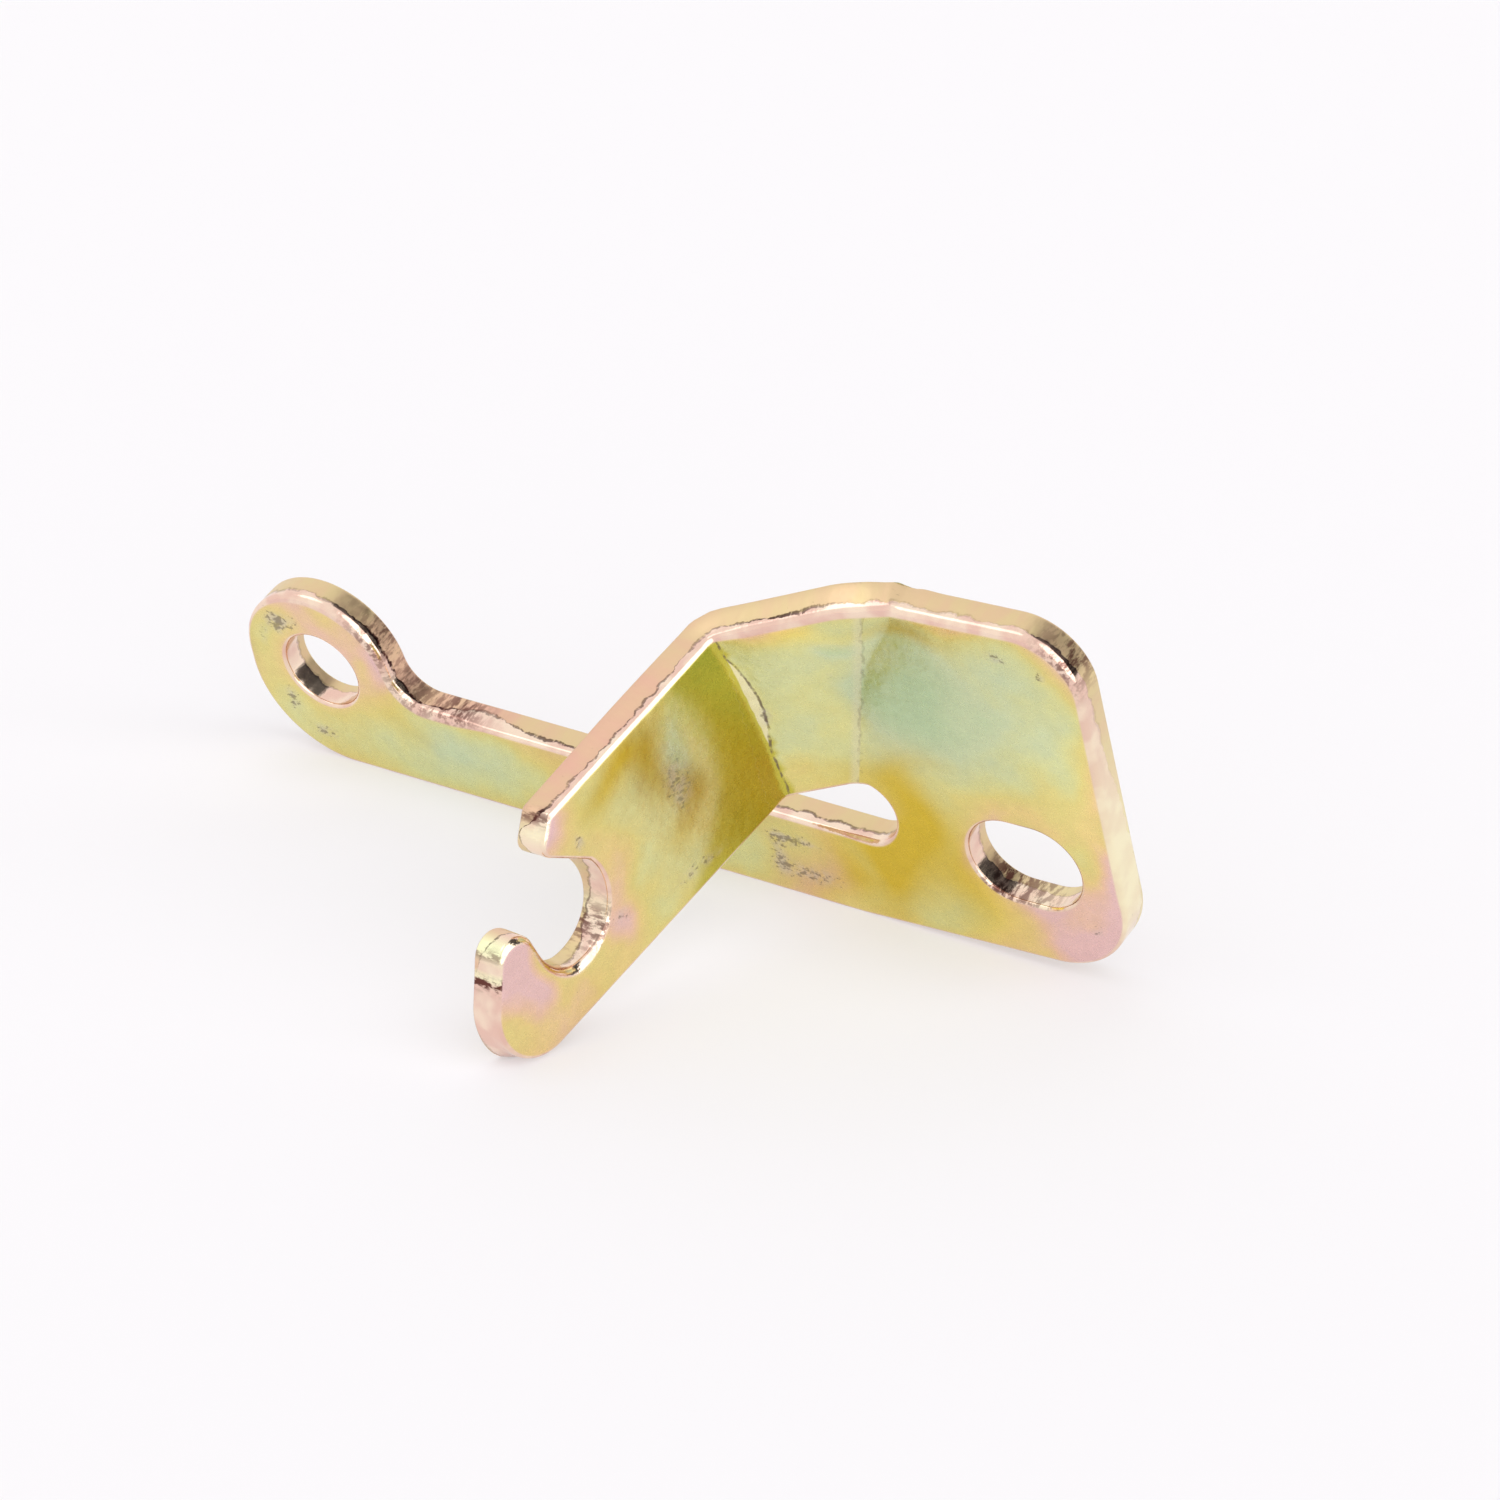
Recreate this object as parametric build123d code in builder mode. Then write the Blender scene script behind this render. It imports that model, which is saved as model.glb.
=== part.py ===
"""Zinc-plated steel bracket, stamped and folded from one piece of sheet.

A plate with a slot hole runs out into a narrow strip that ends in a round eye with a bolt hole.
Beside the strip an arm is folded forward, over a small facet, and ends in a hook with a round
notch.  The blank is laid out flat as its front face is seen: x runs along the bottom edge from
the centre of the eye, y runs up.  Facet and arm are then turned about their creases, and the
whole leans forward until the bottom edge and the hook stand on the ground.
Sizes are in millimetres, angles in degrees.
"""

import os
from math import cos, radians, sin, sqrt, tan

from build123d import *

# Sheet
thickness = 2.5
bend_radius = 0.6           # inside radius of both folds
edge_round = 0.45           # roll-over that the punch leaves along the front edges

# Eye and strip
eye_hole_radius = 3.2
eye_hole_height = 8.5       # centre of the eye hole above the bottom edge
eye_radius = 6.4            # upper half of the eye
eye_shift = -0.1            # its centre beside the centre of the hole
eye_centre_height = 8.9
eye_heel_radius = 7.7       # lower left quarter, down to the bottom edge
eye_neck_radius = 3.0       # hollow between the eye and the top of the strip
strip_width = 7.35

# Plate
heel_x = 45.7               # the bottom edge turns up from here on
heel_rise = 3.0
plate_right = 68.2          # right edge, where it meets the line of the strip's bottom edge
plate_right_lean = 3.7
plate_top_fall = 3.65       # the top edge falls towards the fold
low_corner_radius = 6.5
high_corner_radius = 4.8
shoulder_x = 48.4           # the top edge turns down towards the arm here
shoulder_fall = 15.45       # and falls this steeply to the second fold
slot_hole_radius = 3.5
slot_hole_travel = 1.9      # between the centres of the slot hole's two ends
slot_hole_x = 60.0
slot_hole_height = 9.25
slot_hole_tilt = 1.3

# Relief slot between the strip and the arm
relief_x = 47.1             # centre of its round end
relief_radius = 2.7
relief_leave = 105.0        # where on the round end the lower edge of the facet leaves it

# First fold, plate to facet
fold_one = 22.0
crease_one_x = 48.7
crease_one_height = 20.5
crease_one_tilt = 10.0

# Second fold, facet to arm
fold_two = 59.7
crease_two_x = 42.35        # lower end of the crease
crease_two_height = 11.82
crease_two_tilt = 10.55

# Dish that the press leaves in the facet
dish_radius = 50.0
dish_depth = 0.2
dish_height = 19.5

# Arm, along and across it from the lower end of the second crease
arm_width = 15.4
arm_taper = 1.1
heel_reach = 25.3           # round heel of the hook
heel_radius = 4.0
tip_reach = 25.35           # round tip of the hook
tip_height = 8.5
tip_radius = 1.75
notch_reach = 20.5
notch_height = 8.2
notch_radius = 4.1
notch_start = 156.0         # where the notch meets the prong
notch_end = 315.0           # where it meets the inner side of the hook
prong_reach = 20.1          # point of the prong, before it is rounded
prong_height = 13.3
prong_back = 18.1           # where the end of the prong meets the top edge
prong_round = 0.9

# Stance
lean = 15.985


margin = 6.0                # flat sheet that each end of the fold takes in
clearance = 1.0             # trimming blocks stand this far out of the sheet
fold_height = 26.0          # more than the length of either crease
far = 45.0                  # beyond the reach of any panel


neck_drop = eye_centre_height - strip_width
neck = (eye_shift + sqrt(eye_radius**2 - neck_drop**2), strip_width)
eye_heel_x = eye_heel_radius - eye_radius + eye_shift
arm_taper_rise = heel_reach * tan(radians(arm_taper))


def meet(point_a, slope_a, point_b, slope_b):
    """Where two lines of the blank cross, each given by a point and its slope in degrees."""
    dx, dy = point_b[0] - point_a[0], point_b[1] - point_a[1]
    a, b = radians(slope_a), radians(slope_b)
    along = (dx * sin(b) - dy * cos(b)) / sin(b - a)
    return point_a[0] + along * cos(a), point_a[1] + along * sin(a)


def on_arm(reach, height):
    """A point of the blank from its place along and across the arm."""
    turn = radians(crease_two_tilt)
    return (
        crease_two_x - reach * cos(turn) - height * sin(turn),
        crease_two_height - reach * sin(turn) + height * cos(turn),
    )


def crease_plane(x, height, tilt):
    """The blank seen along a crease: local Y runs up the crease, local X towards the plate."""
    turn = radians(tilt)
    return Plane(origin=(x, 0, height), x_dir=(cos(turn), 0, -sin(turn)), z_dir=(0, -1, 0))


def turned(plane, crease, angle):
    """A plane of the blank after a fold brings it forward about a crease."""
    hinge = crease.location
    return Plane(hinge * Rotation(0, angle, 0) * hinge.inverse() * plane.location)


def mitre(crease, angle):
    """The plane through a crease that halves the fold."""
    half = turned(crease, crease, angle / 2)
    return Plane(origin=half.origin, x_dir=half.y_dir, z_dir=half.x_dir)


# Panels: the front face of each, laid out in the coordinates of the blank
plate = Plane(origin=(0, 0, 0), x_dir=(1, 0, 0), z_dir=(0, -1, 0))
crease_one = crease_plane(crease_one_x, crease_one_height, crease_one_tilt)
crease_two = crease_plane(crease_two_x, crease_two_height, -crease_two_tilt)
facet = turned(plate, crease_one, fold_one)
arm = turned(turned(plate, crease_two, fold_two), crease_one, fold_one)
mitre_one = mitre(crease_one, fold_one)
mitre_two = turned(mitre(crease_two, fold_two), crease_one, fold_one)

arm_low = arm.from_local_coords((crease_two_x, crease_two_height, 0))
arm_along = arm.x_dir * -cos(radians(crease_two_tilt)) + arm.y_dir * -sin(radians(crease_two_tilt))
arm_face = Plane(origin=arm_low, x_dir=arm_along, z_dir=-arm.z_dir)

# Corners of the blank around the folds
relief_height = strip_width + relief_radius
one_point = (crease_one_x, crease_one_height)
shoulder = meet(on_arm(0, arm_width), shoulder_fall, (shoulder_x, 0), 90)
top_right = meet((plate_right, 0), 90 + plate_right_lean, shoulder, plate_top_fall)
low_right = meet((plate_right, 0), 90 + plate_right_lean, (heel_x, 0), heel_rise)
one_top = meet(shoulder, plate_top_fall, one_point, 90 - crease_one_tilt)
one_low = meet((0, relief_height), 0, one_point, 90 - crease_one_tilt)
cut_top = meet(shoulder, plate_top_fall, (one_top[0] + margin, 0), 90)
cut_low = (one_low[0] + margin, relief_height)
leave = radians(relief_leave)
relief_leaves = (relief_x + relief_radius * cos(leave), relief_height + relief_radius * sin(leave))


def crossing(panel, mitre_plane, corner, slope, depth):
    """Where an edge of a panel that crosses a crease at a corner meets the mitre, below its face."""
    turn = radians(slope)
    start = panel.from_local_coords((corner[0], corner[1], -depth))
    return mitre_plane.intersect(Axis(start, panel.x_dir * cos(turn) + panel.y_dir * sin(turn)))


def below(panel, corner, depth):
    """A corner of a panel, below its front face."""
    return panel.from_local_coords((corner[0], corner[1], -depth))


def panel_block(panel, corners):
    """A block with ruled sides around part of a panel, from before its front to behind its back."""
    with BuildPart() as block:
        for depth in (-clearance, thickness + clearance):
            face_plane = panel.offset(-depth)
            with BuildSketch(face_plane):
                with BuildLine():
                    Polyline(*[face_plane.to_local_coords(p) for p in corners(depth)], close=True)
                make_face()
        loft(ruled=True)
    return block.part


def mitre_corners(depth):
    """The corners that neighbouring panels share: first crease low and top, second top and low."""
    return [
        crossing(plate, mitre_one, one_low, 0, depth),
        crossing(plate, mitre_one, one_top, plate_top_fall, depth),
        crossing(arm, mitre_two, on_arm(0, arm_width), crease_two_tilt, depth),
        crossing(arm, mitre_two, on_arm(0, 0), crease_two_tilt - arm_taper, depth),
    ]


def plate_corners(depth):
    return mitre_corners(depth)[:2] + [below(plate, cut_top, depth), below(plate, cut_low, depth)]


def facet_corners(depth):
    low_one, top_one, top_two, low_two = mitre_corners(depth)
    return [low_one, top_one, below(facet, shoulder, depth), top_two, low_two,
            below(facet, relief_leaves, depth)]


def arm_corners(depth):
    rise = margin * tan(radians(arm_taper))
    return mitre_corners(depth)[2:] + [
        below(arm, on_arm(margin, rise), depth),
        below(arm, on_arm(margin, arm_width), depth),
    ]


def space_before(depth):
    """All that lies before the sheet, down to a depth below its front face."""
    axis_point = facet.from_local_coords((crease_one_x, dish_height, dish_radius - dish_depth))
    with BuildPart() as space:
        with BuildSketch(plate.offset(-depth)):
            with Locations((crease_one_x, crease_one_height)):
                Rectangle(2 * far, fold_height)
        extrude(amount=far)
        with BuildSketch(Plane(origin=axis_point, x_dir=facet.y_dir, z_dir=facet.x_dir)):
            Circle(dish_radius + depth)
        extrude(amount=2 * far, both=True, mode=Mode.INTERSECT)
        with BuildSketch(arm.offset(-depth)):
            with Locations((crease_two_x, crease_two_height)):
                Rectangle(4 * far, 4 * far)
        extrude(amount=2 * far, mode=Mode.INTERSECT)
        fillet(space.edges().filter_by(GeomType.ELLIPSE), bend_radius + depth)
    return space.part


back_space = space_before(thickness)
front_space = space_before(0)
blocks = [
    panel_block(plate, plate_corners),
    panel_block(facet, facet_corners),
    panel_block(arm, arm_corners),
]

with BuildPart() as trim:
    add(blocks)

with BuildPart() as folds:
    add(back_space)
    add(front_space, mode=Mode.SUBTRACT)
    add(trim.part, mode=Mode.INTERSECT)

with BuildSketch() as hook:
    with Locations((heel_reach, arm_taper_rise + heel_radius)):
        Circle(heel_radius)
    with Locations((tip_reach, tip_height)):
        Circle(tip_radius)
    make_hull()

with BuildPart() as folded:
    # Plate, strip and eye
    with BuildSketch(plate) as blank:
        with Locations((eye_shift, eye_centre_height)):
            Circle(eye_radius)
        with BuildLine():
            heel = CenterArc((eye_heel_x, eye_heel_radius), eye_heel_radius, 180, 90)
            Polyline(
                heel @ 1,
                (heel_x, 0),
                low_right,
                top_right,
                cut_top,
                cut_low,
                (relief_x, relief_height),
                (relief_x, strip_width),
                (eye_shift, strip_width),
                (eye_shift, eye_centre_height),
                (eye_shift - eye_radius, eye_centre_height),
                heel @ 0,
            )
        make_face()
        fillet(blank.vertices().sort_by_distance((*low_right, 0))[0], low_corner_radius)
        fillet(blank.vertices().sort_by_distance((*top_right, 0))[0], high_corner_radius)
        fillet(blank.vertices().sort_by_distance((*neck, 0))[0], eye_neck_radius)
    extrude(amount=-thickness)

    # Arm and hook
    with BuildSketch(arm_face) as arm_blank:
        with BuildLine():
            notch = CenterArc(
                (notch_reach, notch_height), notch_radius, notch_start, notch_end - notch_start
            )
            Polyline(
                notch @ 1,
                (tip_reach - tip_radius, tip_height),
                (tip_reach, tip_height),
                (heel_reach, arm_taper_rise),
                (margin, margin * tan(radians(arm_taper))),
                (margin, arm_width),
                (prong_back, arm_width),
                (prong_reach, prong_height),
                notch @ 0,
            )
        make_face()
        add(hook.sketch)
        point = arm_blank.vertices().sort_by_distance((prong_reach, prong_height, 0))[0]
        fillet(point, prong_round)
    extrude(amount=thickness)

    add(folds.part)

    # Holes and the round end of the relief slot
    with BuildSketch(plate):
        with Locations((relief_x, relief_height)):
            Circle(relief_radius)
    extrude(amount=2 * thickness, both=True, mode=Mode.SUBTRACT)
    with BuildSketch(plate):
        with Locations((0, eye_hole_height)):
            Circle(eye_hole_radius)
        with Locations(Location((slot_hole_x, slot_hole_height), slot_hole_tilt)):
            SlotCenterToCenter(slot_hole_travel, 2 * slot_hole_radius)
    extrude(amount=-thickness, mode=Mode.SUBTRACT)


    # Roll-over around the front of the plate, except where it runs on into the first bend
    plate_front = folded.faces().filter_by(Axis.Y).sort_by(Axis.Y)[0]
    fillet(plate_front.edges().filter_by(GeomType.BSPLINE, reverse=True), edge_round)

leaned = folded.part.rotate(Axis.X, lean)
box = leaned.bounding_box()

with BuildPart() as bracket:
    with Locations((-box.center().X, -box.center().Y, -box.min.Z)):
        add(leaned)

bracket.part.label = "bracket"
os.makedirs("parts", exist_ok=True)
export_step(bracket.part, "parts/bracket.step")
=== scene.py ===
import math

import bpy
import numpy as np
from mathutils import Matrix, Vector
from mathutils.geometry import delaunay_2d_cdt


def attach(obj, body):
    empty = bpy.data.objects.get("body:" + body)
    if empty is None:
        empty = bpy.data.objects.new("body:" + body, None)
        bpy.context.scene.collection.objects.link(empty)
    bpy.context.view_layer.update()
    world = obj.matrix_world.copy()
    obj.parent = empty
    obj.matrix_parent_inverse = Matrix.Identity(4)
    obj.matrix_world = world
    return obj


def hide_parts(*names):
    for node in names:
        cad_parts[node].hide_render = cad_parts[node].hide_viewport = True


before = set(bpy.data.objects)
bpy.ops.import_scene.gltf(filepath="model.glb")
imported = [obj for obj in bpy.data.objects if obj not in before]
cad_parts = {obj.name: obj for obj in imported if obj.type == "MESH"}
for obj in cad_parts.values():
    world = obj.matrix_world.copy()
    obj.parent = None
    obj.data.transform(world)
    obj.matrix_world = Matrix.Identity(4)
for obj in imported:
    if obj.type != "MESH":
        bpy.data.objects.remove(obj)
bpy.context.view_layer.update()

MM = 0.001

# ---------------------------------------------------------------- the sheet and its blank, in mm
THICKNESS = 2.5
BEND_RADIUS = 0.6
STRIP_WIDTH = 7.35
EYE_CENTRE, EYE_RADIUS = (-0.1, 8.9), 6.4
EYE_HEEL_RADIUS = 7.7
NECK_RADIUS = 3.0
EYE_HOLE, EYE_HOLE_RADIUS = (0.0, 8.5), 3.2
HEEL_X, HEEL_RISE = 45.7, 3.0
PLATE_RIGHT, RIGHT_LEAN = 68.2, 3.7
PLATE_TOP, TOP_FALL = 30.55, 3.65
LOW_CORNER, HIGH_CORNER, SHOULDER_ROUND = 6.5, 4.8, 8.0
SHOULDER_X = 48.4
SLOT_HOLE, SLOT_RADIUS, SLOT_TRAVEL, SLOT_TILT = (60.0, 9.25), 3.5, 1.9, 1.3
RELIEF, RELIEF_RADIUS, RELIEF_LEAVE = (47.1, 10.05), 2.7, 105.0
CREASE_ONE, CREASE_ONE_TILT, FOLD_ONE = (48.7, 20.5), 10.0, 22.0
CREASE_TWO, CREASE_TWO_TILT, FOLD_TWO = (42.35, 11.82), -10.55, 59.7
DISH_RADIUS, DISH_DEPTH, DISH_HEIGHT, DISH_REACH = 50.0, 0.2, 19.5, 16.0
FACET_MIDDLE = 3.0      # sum of the distances past both creases, halfway across the facet
ARM_WIDTH, ARM_TAPER = 15.4, 1.1
HOOK_HEEL, HOOK_HEEL_RADIUS = (25.3, 4.49), 4.0
HOOK_TIP, HOOK_TIP_RADIUS = (25.35, 8.5), 1.75
NOTCH, NOTCH_RADIUS, NOTCH_FROM, NOTCH_TO = (20.5, 8.2), 4.1, 156.0, 315.0
PRONG, PRONG_ROUND, PRONG_BACK, PRONG_TOP_ROUND = (20.1, 13.3), 0.9, 18.1, 0.6
HOOK_EASE, HOOK_EASE_ROUNDS = 2.0, 30       # how far and how often the hook's inner corner is smoothed
STRIP_TOP = STRIP_WIDTH + 0.05  # up to this height, or left of the eye's end, the blank is the strip
EYE_END = 11.0
SLOT_START = 40.0       # right of this, what is lower than the relief slot is the plate
LEAN = 15.985
SHIFT = (30.6065, -15.4705, 0.1065)

# ---------------------------------------------------------------- the mesh
STEP = 0.3              # between points along an edge
ARC_STEPS, CORNER_STEPS = 3, 2  # least number of steps in an arc and in a rounded corner
GRID = 0.55             # between points on the faces
ROW, RIM_CLEAR = 0.87, 0.5      # height of a row of those points, and their distance from a rim, in GRID
SAME_POINT = 1e-7       # points as near as this are one
SHORTEST_EDGE = 0.02
LEAST_TRIANGLE = 1e-4   # twice the least area in mm2: three points in a line make no triangle
LEAST_MITRE = 0.7       # cosine of half a turn, so that a sharp corner's normal stays short
BLOCKS = 40             # parts in which long lists of points are worked through
AWAY = 50.0             # a distance that is far from every crease
ROLL, ROLL_DEPTH = 0.9, 0.72    # width and depth that the punch rolls over along the upper front edges
ROLL_LOW, ROLL_HOLE = 0.4, 0.4  # its width along the lower edges and in the holes
ROLL_ARM = 0.5          # and along the top of the arm and of the strip
ROLL_UP = (0.35, 0.94)  # direction on the blank in which the edges are rolled over most
ROLL_OF_RADIUS = 0.72   # most of a corner's radius that the roll takes
LEAST_BEND = 0.01
BEND_STEPS, LEAST_STEPS, MEAN_STEPS = 2, 3, 4   # points to either side for the bend, least and mean width
# Zones where the roll is at most ROLL_ARM wide, x from and to and y from and to: arm's top, strip's top
SLIM_ZONES = ((18.0, 39.5, 20.0, 40.0), (14.0, 46.0, 6.0, 8.5))
ROLL_STEPS = 8
SHEAR = 1.25            # depth at which the smooth shear ends and the torn part begins
# The edge below the roll: share of the roll's width, of its depth and of the spread, and depth
TORN_PROFILE = [
    (0.0, 0.0, 0.1, 1.0),
    (0.0, 0.0, 0.35, SHEAR),
    (0.0, 0.0, 0.75, 1.8),
    (0.0, 0.0, 1.0, 2.3),
    (0.02, 0.0, 1.0, 2.44),
    (0.05, 0.0, 1.0, THICKNESS),
]
# Where the torn part spreads past the outline: x, y, reach along x and y, spread in mm
SPREAD_PATCHES = [
    (13.5, 7.5, 2.2, 2.6, 0.55),
    (24.0, 18.5, 3.0, 3.0, 0.30),
    (32.0, 26.0, 9.0, 5.0, 0.22),
    (44.0, 31.0, 8.0, 3.0, 0.12),
    (56.0, 30.5, 9.0, 2.0, 0.15),
    (52.0, 30.5, 1.1, 2.0, -0.26),
    (53.6, 30.5, 1.0, 2.0, 0.12),
]
# How the patches' outlines wander: two waves for x and two for y, each by x, by y and start
WANDER = 0.7
WANDER_X = ((0.0, 0.9, 1.3), (0.5, 0.37, 0.0))
WANDER_Y = ((0.8, 0.0, 0.4), (-0.31, 0.6, 0.0))


def rad(angle):
    return math.radians(angle)


def arc(centre, radius, start, end):
    """Points on an arc, angles in degrees, both ends included."""
    count = max(ARC_STEPS, int(abs(rad(end - start)) * radius / STEP))
    turn = np.radians(np.linspace(start, end, count + 1))
    return np.stack([centre[0] + radius * np.cos(turn), centre[1] + radius * np.sin(turn)], 1)


def meet(p, slope_p, q, slope_q):
    """Where two lines cross, each given by a point and its slope in degrees."""
    a, b = rad(slope_p), rad(slope_q)
    dx, dy = q[0] - p[0], q[1] - p[1]
    along = (dx * math.sin(b) - dy * math.cos(b)) / math.sin(b - a)
    return (p[0] + along * math.cos(a), p[1] + along * math.sin(a))


def rounded(before, corner, after, radius):
    """Points that round a corner between two straight edges."""
    corner = np.array(corner)
    u, v = np.array(before) - corner, np.array(after) - corner
    u, v = u / np.linalg.norm(u), v / np.linalg.norm(v)
    half = math.acos(np.clip(u @ v, -1, 1)) / 2
    middle = (u + v) / np.linalg.norm(u + v)
    centre = corner + middle * radius / math.sin(half)
    sweep = math.pi / 2 - half
    first = -u * math.cos(half) + middle
    side = u - middle * (u @ middle)
    side = side / np.linalg.norm(side)
    count = max(CORNER_STEPS, int(2 * sweep * radius / STEP))
    turns = np.linspace(sweep, -sweep, count + 1)
    return np.array([centre + radius * (-middle * math.cos(t) + side * math.sin(t)) for t in turns])


def on_arm(points):
    """Blank coordinates of points given along and across the arm."""
    points = np.atleast_2d(np.array(points, float))
    turn = rad(-CREASE_TWO_TILT)
    x = CREASE_TWO[0] - points[:, 0] * math.cos(turn) - points[:, 1] * math.sin(turn)
    y = CREASE_TWO[1] - points[:, 0] * math.sin(turn) + points[:, 1] * math.cos(turn)
    return np.stack([x, y], 1)


def outline():
    """The outer edge of the blank, anticlockwise as its front is seen."""
    right = (PLATE_RIGHT, 0)
    low_right = meet(right, 90 + RIGHT_LEAN, (HEEL_X, 0), HEEL_RISE)
    top_right = meet(right, 90 + RIGHT_LEAN, (0, PLATE_TOP), 0)
    shoulder = meet(top_right, TOP_FALL, (SHOULDER_X, 0), 90)
    fold_top = on_arm((0, ARM_WIDTH))[0]
    heel_x = EYE_HEEL_RADIUS + EYE_CENTRE[0] - EYE_RADIUS

    prong_top = (PRONG_BACK, ARM_WIDTH)
    notch = arc(NOTCH, NOTCH_RADIUS, NOTCH_FROM, NOTCH_TO)
    prong_low = notch[0]
    gap = np.subtract(HOOK_TIP, HOOK_HEEL)
    swing = math.degrees(math.acos((HOOK_HEEL_RADIUS - HOOK_TIP_RADIUS) / np.linalg.norm(gap)))
    flank = math.degrees(math.atan2(gap[1], gap[0])) - swing
    hook = np.concatenate([
        rounded((0, ARM_WIDTH), prong_top, PRONG, PRONG_TOP_ROUND),
        rounded(prong_top, PRONG, prong_low, PRONG_ROUND),
        notch,
        arc(HOOK_TIP, HOOK_TIP_RADIUS, 180, flank),
        arc(HOOK_HEEL, HOOK_HEEL_RADIUS, flank, -90 + ARM_TAPER),
    ])

    neck_y = STRIP_WIDTH + NECK_RADIUS - EYE_CENTRE[1]
    neck_x = math.sqrt((EYE_RADIUS + NECK_RADIUS) ** 2 - neck_y ** 2)
    neck_turn = math.degrees(math.atan2(neck_y, neck_x))
    neck = (EYE_CENTRE[0] + neck_x, EYE_CENTRE[1] + neck_y)
    pieces = [
        np.array([(heel_x, 0), (HEEL_X, 0)]),
        rounded((HEEL_X, 0), low_right, top_right, LOW_CORNER),
        rounded(low_right, top_right, shoulder, HIGH_CORNER),
        rounded(top_right, shoulder, fold_top, SHOULDER_ROUND),
        fold_top[None],
        on_arm(hook),
        np.array([CREASE_TWO]),
        arc(RELIEF, RELIEF_RADIUS, RELIEF_LEAVE, -90),
        arc(neck, NECK_RADIUS, 270, 180 + neck_turn),
        arc(EYE_CENTRE, EYE_RADIUS, neck_turn, 180),
        arc((heel_x, EYE_HEEL_RADIUS), EYE_HEEL_RADIUS, 180, 270),
    ]
    return eased(spaced(np.concatenate(pieces)), on_arm(notch[-1])[0])


def eased(loop, place):
    """The outline with its corner at a place smoothed away."""
    loop = loop.copy()
    near = np.clip(1 - np.linalg.norm(loop - place, axis=1) / HOOK_EASE, 0, 1)[:, None]
    for _ in range(HOOK_EASE_ROUNDS):
        loop += near * ((np.roll(loop, 1, 0) + np.roll(loop, -1, 0)) / 2 - loop)
    return loop


def slot_outline():
    """The slot hole's edge, clockwise."""
    turn = np.array([math.cos(rad(SLOT_TILT)), math.sin(rad(SLOT_TILT))]) * SLOT_TRAVEL / 2
    right = arc(np.add(SLOT_HOLE, turn), SLOT_RADIUS, 90 + SLOT_TILT, -90 + SLOT_TILT)
    left = arc(np.subtract(SLOT_HOLE, turn), SLOT_RADIUS, 270 + SLOT_TILT, 90 + SLOT_TILT)
    return spaced(np.concatenate([right, left]))


def spaced(points):
    """A closed outline with even spacing between its corners, without doubled points."""
    kept = []
    for i, p in enumerate(points):
        q = points[(i + 1) % len(points)]
        length = np.linalg.norm(q - p)
        if length < SHORTEST_EDGE:
            continue
        count = max(1, round(length / STEP))
        kept += [p + (q - p) * k / count for k in range(count)]
    return np.array(kept)


def inward(points):
    """Unit normals of a closed outline, to the left of its direction."""
    ahead, behind = np.roll(points, -1, 0) - points, points - np.roll(points, 1, 0)
    ahead /= np.linalg.norm(ahead, axis=1)[:, None]
    behind /= np.linalg.norm(behind, axis=1)[:, None]
    mean = ahead + behind
    mean /= np.linalg.norm(mean, axis=1)[:, None]
    stretch = 1 / np.clip((mean * ahead).sum(1), LEAST_MITRE, 1)
    return np.stack([-mean[:, 1], mean[:, 0]], 1) * stretch[:, None]


# ---------------------------------------------------------------- folding
def turn_about(point, tilt, angle):
    """The turn about a crease of the blank that brings what is left of it forward."""
    axis = Vector((math.sin(rad(tilt)), 0, math.cos(rad(tilt))))
    place = Matrix.Translation((point[0], 0, point[1]))
    return place @ Matrix.Rotation(rad(angle), 4, axis) @ place.inverted()


def moved(matrix, points):
    """Points turned and moved by a matrix."""
    m = np.array(matrix)
    return points @ m[:3, :3].T + m[:3, 3]


FACET_TURN = turn_about(CREASE_ONE, CREASE_ONE_TILT, FOLD_ONE)
ARM_TURN = FACET_TURN @ turn_about(CREASE_TWO, CREASE_TWO_TILT, FOLD_TWO)
FORWARD = np.array([0.0, -1.0, 0.0])


def waves(flat, terms):
    """Sum of sine waves over the blank."""
    return sum(np.sin(flat[:, 0] * by_x + flat[:, 1] * by_y + start) for by_x, by_y, start in terms)


def patches(places, flat, wander=WANDER):
    """Sum of soft patches on the blank, at each of its points; their outlines wander a little."""
    x = flat[:, 0] + wander * waves(flat, WANDER_X)
    y = flat[:, 1] + wander * waves(flat, WANDER_Y)
    total = np.zeros(len(flat))
    for px, py, wide, high, amount in places:
        total += amount * np.exp(-((x - px) / wide) ** 2 - ((y - py) / high) ** 2)
    return total


def crease_sides(flat):
    """How far points of the blank lie to the right of the first and of the second crease."""
    return tuple(
        ((flat - crease) * (math.cos(rad(tilt)), -math.sin(rad(tilt)))).sum(1)
        for crease, tilt in ((CREASE_ONE, CREASE_ONE_TILT), (CREASE_TWO, CREASE_TWO_TILT))
    )


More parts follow.
